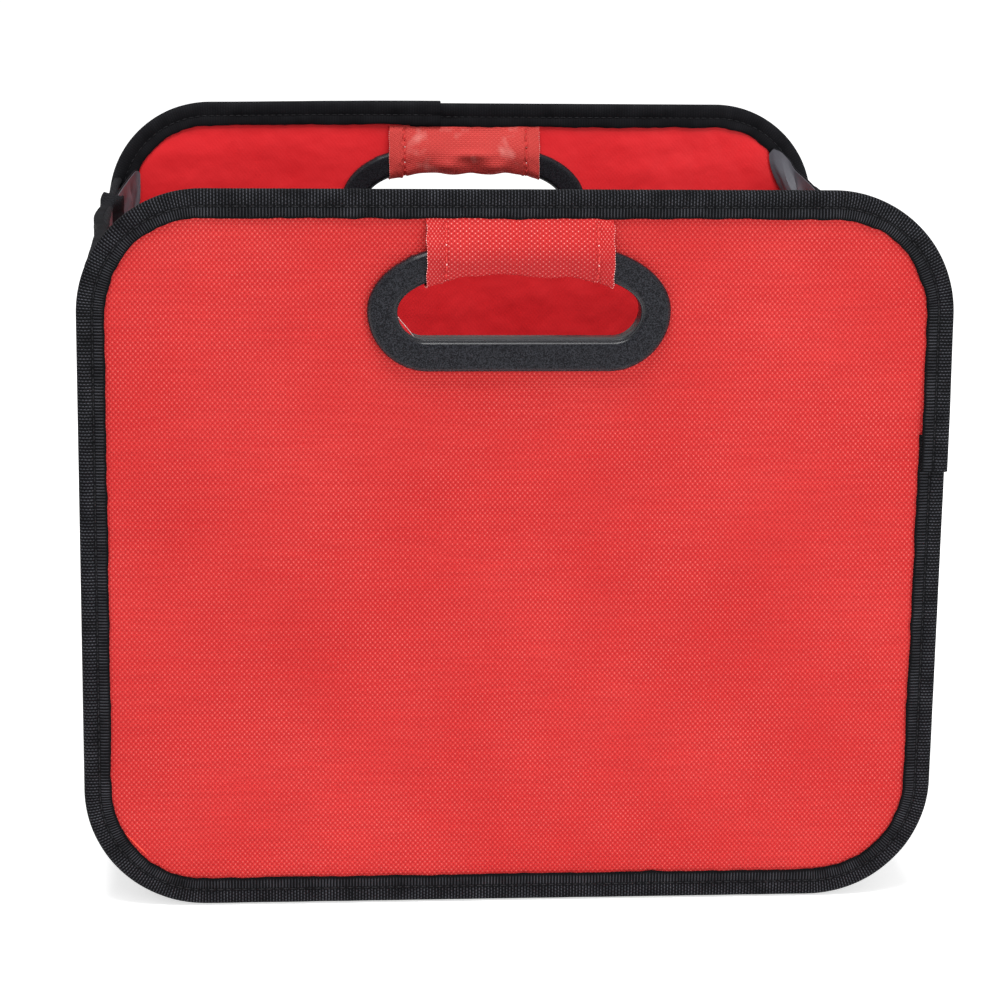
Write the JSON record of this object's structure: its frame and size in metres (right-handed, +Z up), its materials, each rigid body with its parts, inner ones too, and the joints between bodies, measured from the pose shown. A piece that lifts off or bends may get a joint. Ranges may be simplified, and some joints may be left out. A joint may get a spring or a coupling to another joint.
{
  "type": "folding storage box",
  "caption": "Open-topped fabric box with stiff rounded end panels, oval hand holes and side walls that fold inward as the base folds up.",
  "frame": {"origin": "centre of the box at the level that it stands on", "axes": "+X along the end panels' width, +Y from the front end panel to the rear one, +Z up"},
  "size_m": [0.325, 0.307, 0.275],
  "materials": {
    "red_weave": "matte woven",
    "red_coating": "satin coated",
    "board": "matte",
    "webbing": "matte ribbed",
    "plastic": "fine texture",
    "black_cloth": "matte woven",
    "grey_coating": "satin coated"
  },
  "bodies": {
    "front_panel": {"front_board": "board", "front_cover": "red_weave", "front_liner": "red_coating", "front_binding": "webbing", "front_handle_outer": "plastic", "front_handle_inner": "plastic", "front_grip_wrap": "red_weave", "left_front_gusset": "black_cloth", "right_front_gusset": "black_cloth"},
    "base_front": {"base_front_cloth": "black_cloth", "base_front_board": "board", "base_front_lining": "grey_coating"},
    "base_rear": {"base_rear_cloth": "black_cloth", "base_rear_board": "board", "base_rear_lining": "grey_coating"},
    "rear_panel": {"rear_board": "board", "rear_cover": "red_weave", "rear_liner": "red_coating", "rear_binding": "webbing", "rear_handle_outer": "plastic", "rear_handle_inner": "plastic", "rear_grip_wrap": "red_weave", "left_rear_gusset": "black_cloth", "right_rear_gusset": "black_cloth"},
    "left_front_wall": {"left_front_wall_cloth": "black_cloth", "left_front_wall_board": "board", "left_front_wall_lining": "grey_coating", "left_front_wall_top_binding": "webbing"},
    "right_front_wall": {"right_front_wall_cloth": "black_cloth", "right_front_wall_board": "board", "right_front_wall_lining": "grey_coating", "right_front_wall_top_binding": "webbing"},
    "left_rear_wall": {"left_rear_wall_cloth": "black_cloth", "left_rear_wall_board": "board", "left_rear_wall_lining": "grey_coating", "left_rear_wall_top_binding": "webbing"},
    "right_rear_wall": {"right_rear_wall_cloth": "black_cloth", "right_rear_wall_board": "board", "right_rear_wall_lining": "grey_coating", "right_rear_wall_top_binding": "webbing"}
  },
  "joints": [
    {"name": "fold", "type": "hinge", "parent": "front_panel", "child": "base_front", "pos_m": [0, -0.1353, 0], "axis": [1, 0, 0], "range_deg": [0, 84], "deforming": ["left_front_gusset", "right_front_gusset", "left_rear_gusset", "right_rear_gusset"]},
    {"name": "base_crease", "type": "hinge", "parent": "base_front", "child": "base_rear", "pos_m": [0, 0, 0], "axis": [1, 0, 0], "range_deg": [-168, 0]},
    {"name": "rear_hinge", "type": "hinge", "parent": "base_rear", "child": "rear_panel", "pos_m": [0, 0.1353, 0], "axis": [1, 0, 0], "range_deg": [0, 84]},
    {"name": "left_front_wall_fold", "type": "hinge", "parent": "front_panel", "child": "left_front_wall", "pos_m": [-0.1615, -0.1383, 0], "axis": [0, 0, -1], "range_deg": [0, 82.88]},
    {"name": "right_front_wall_fold", "type": "hinge", "parent": "front_panel", "child": "right_front_wall", "pos_m": [0.1615, -0.1383, 0], "axis": [0, 0, 1], "range_deg": [0, 82.88]},
    {"name": "left_rear_wall_fold", "type": "hinge", "parent": "rear_panel", "child": "left_rear_wall", "pos_m": [-0.1615, 0.1383, 0], "axis": [0, 0, 1], "range_deg": [0, 82.88]},
    {"name": "right_rear_wall_fold", "type": "hinge", "parent": "rear_panel", "child": "right_rear_wall", "pos_m": [0.1615, 0.1383, 0], "axis": [0, 0, -1], "range_deg": [0, 82.88]}
  ],
  "couplings": [
    {"joint": "base_crease", "follows": "fold", "ratio": -2},
    {"joint": "rear_hinge", "follows": "fold", "ratio": 1},
    {"joint": "left_front_wall_fold", "follows": "fold", "ratio": 0.9867},
    {"joint": "right_front_wall_fold", "follows": "fold", "ratio": 0.9867},
    {"joint": "left_rear_wall_fold", "follows": "fold", "ratio": 0.9867},
    {"joint": "right_rear_wall_fold", "follows": "fold", "ratio": 0.9867}
  ]
}
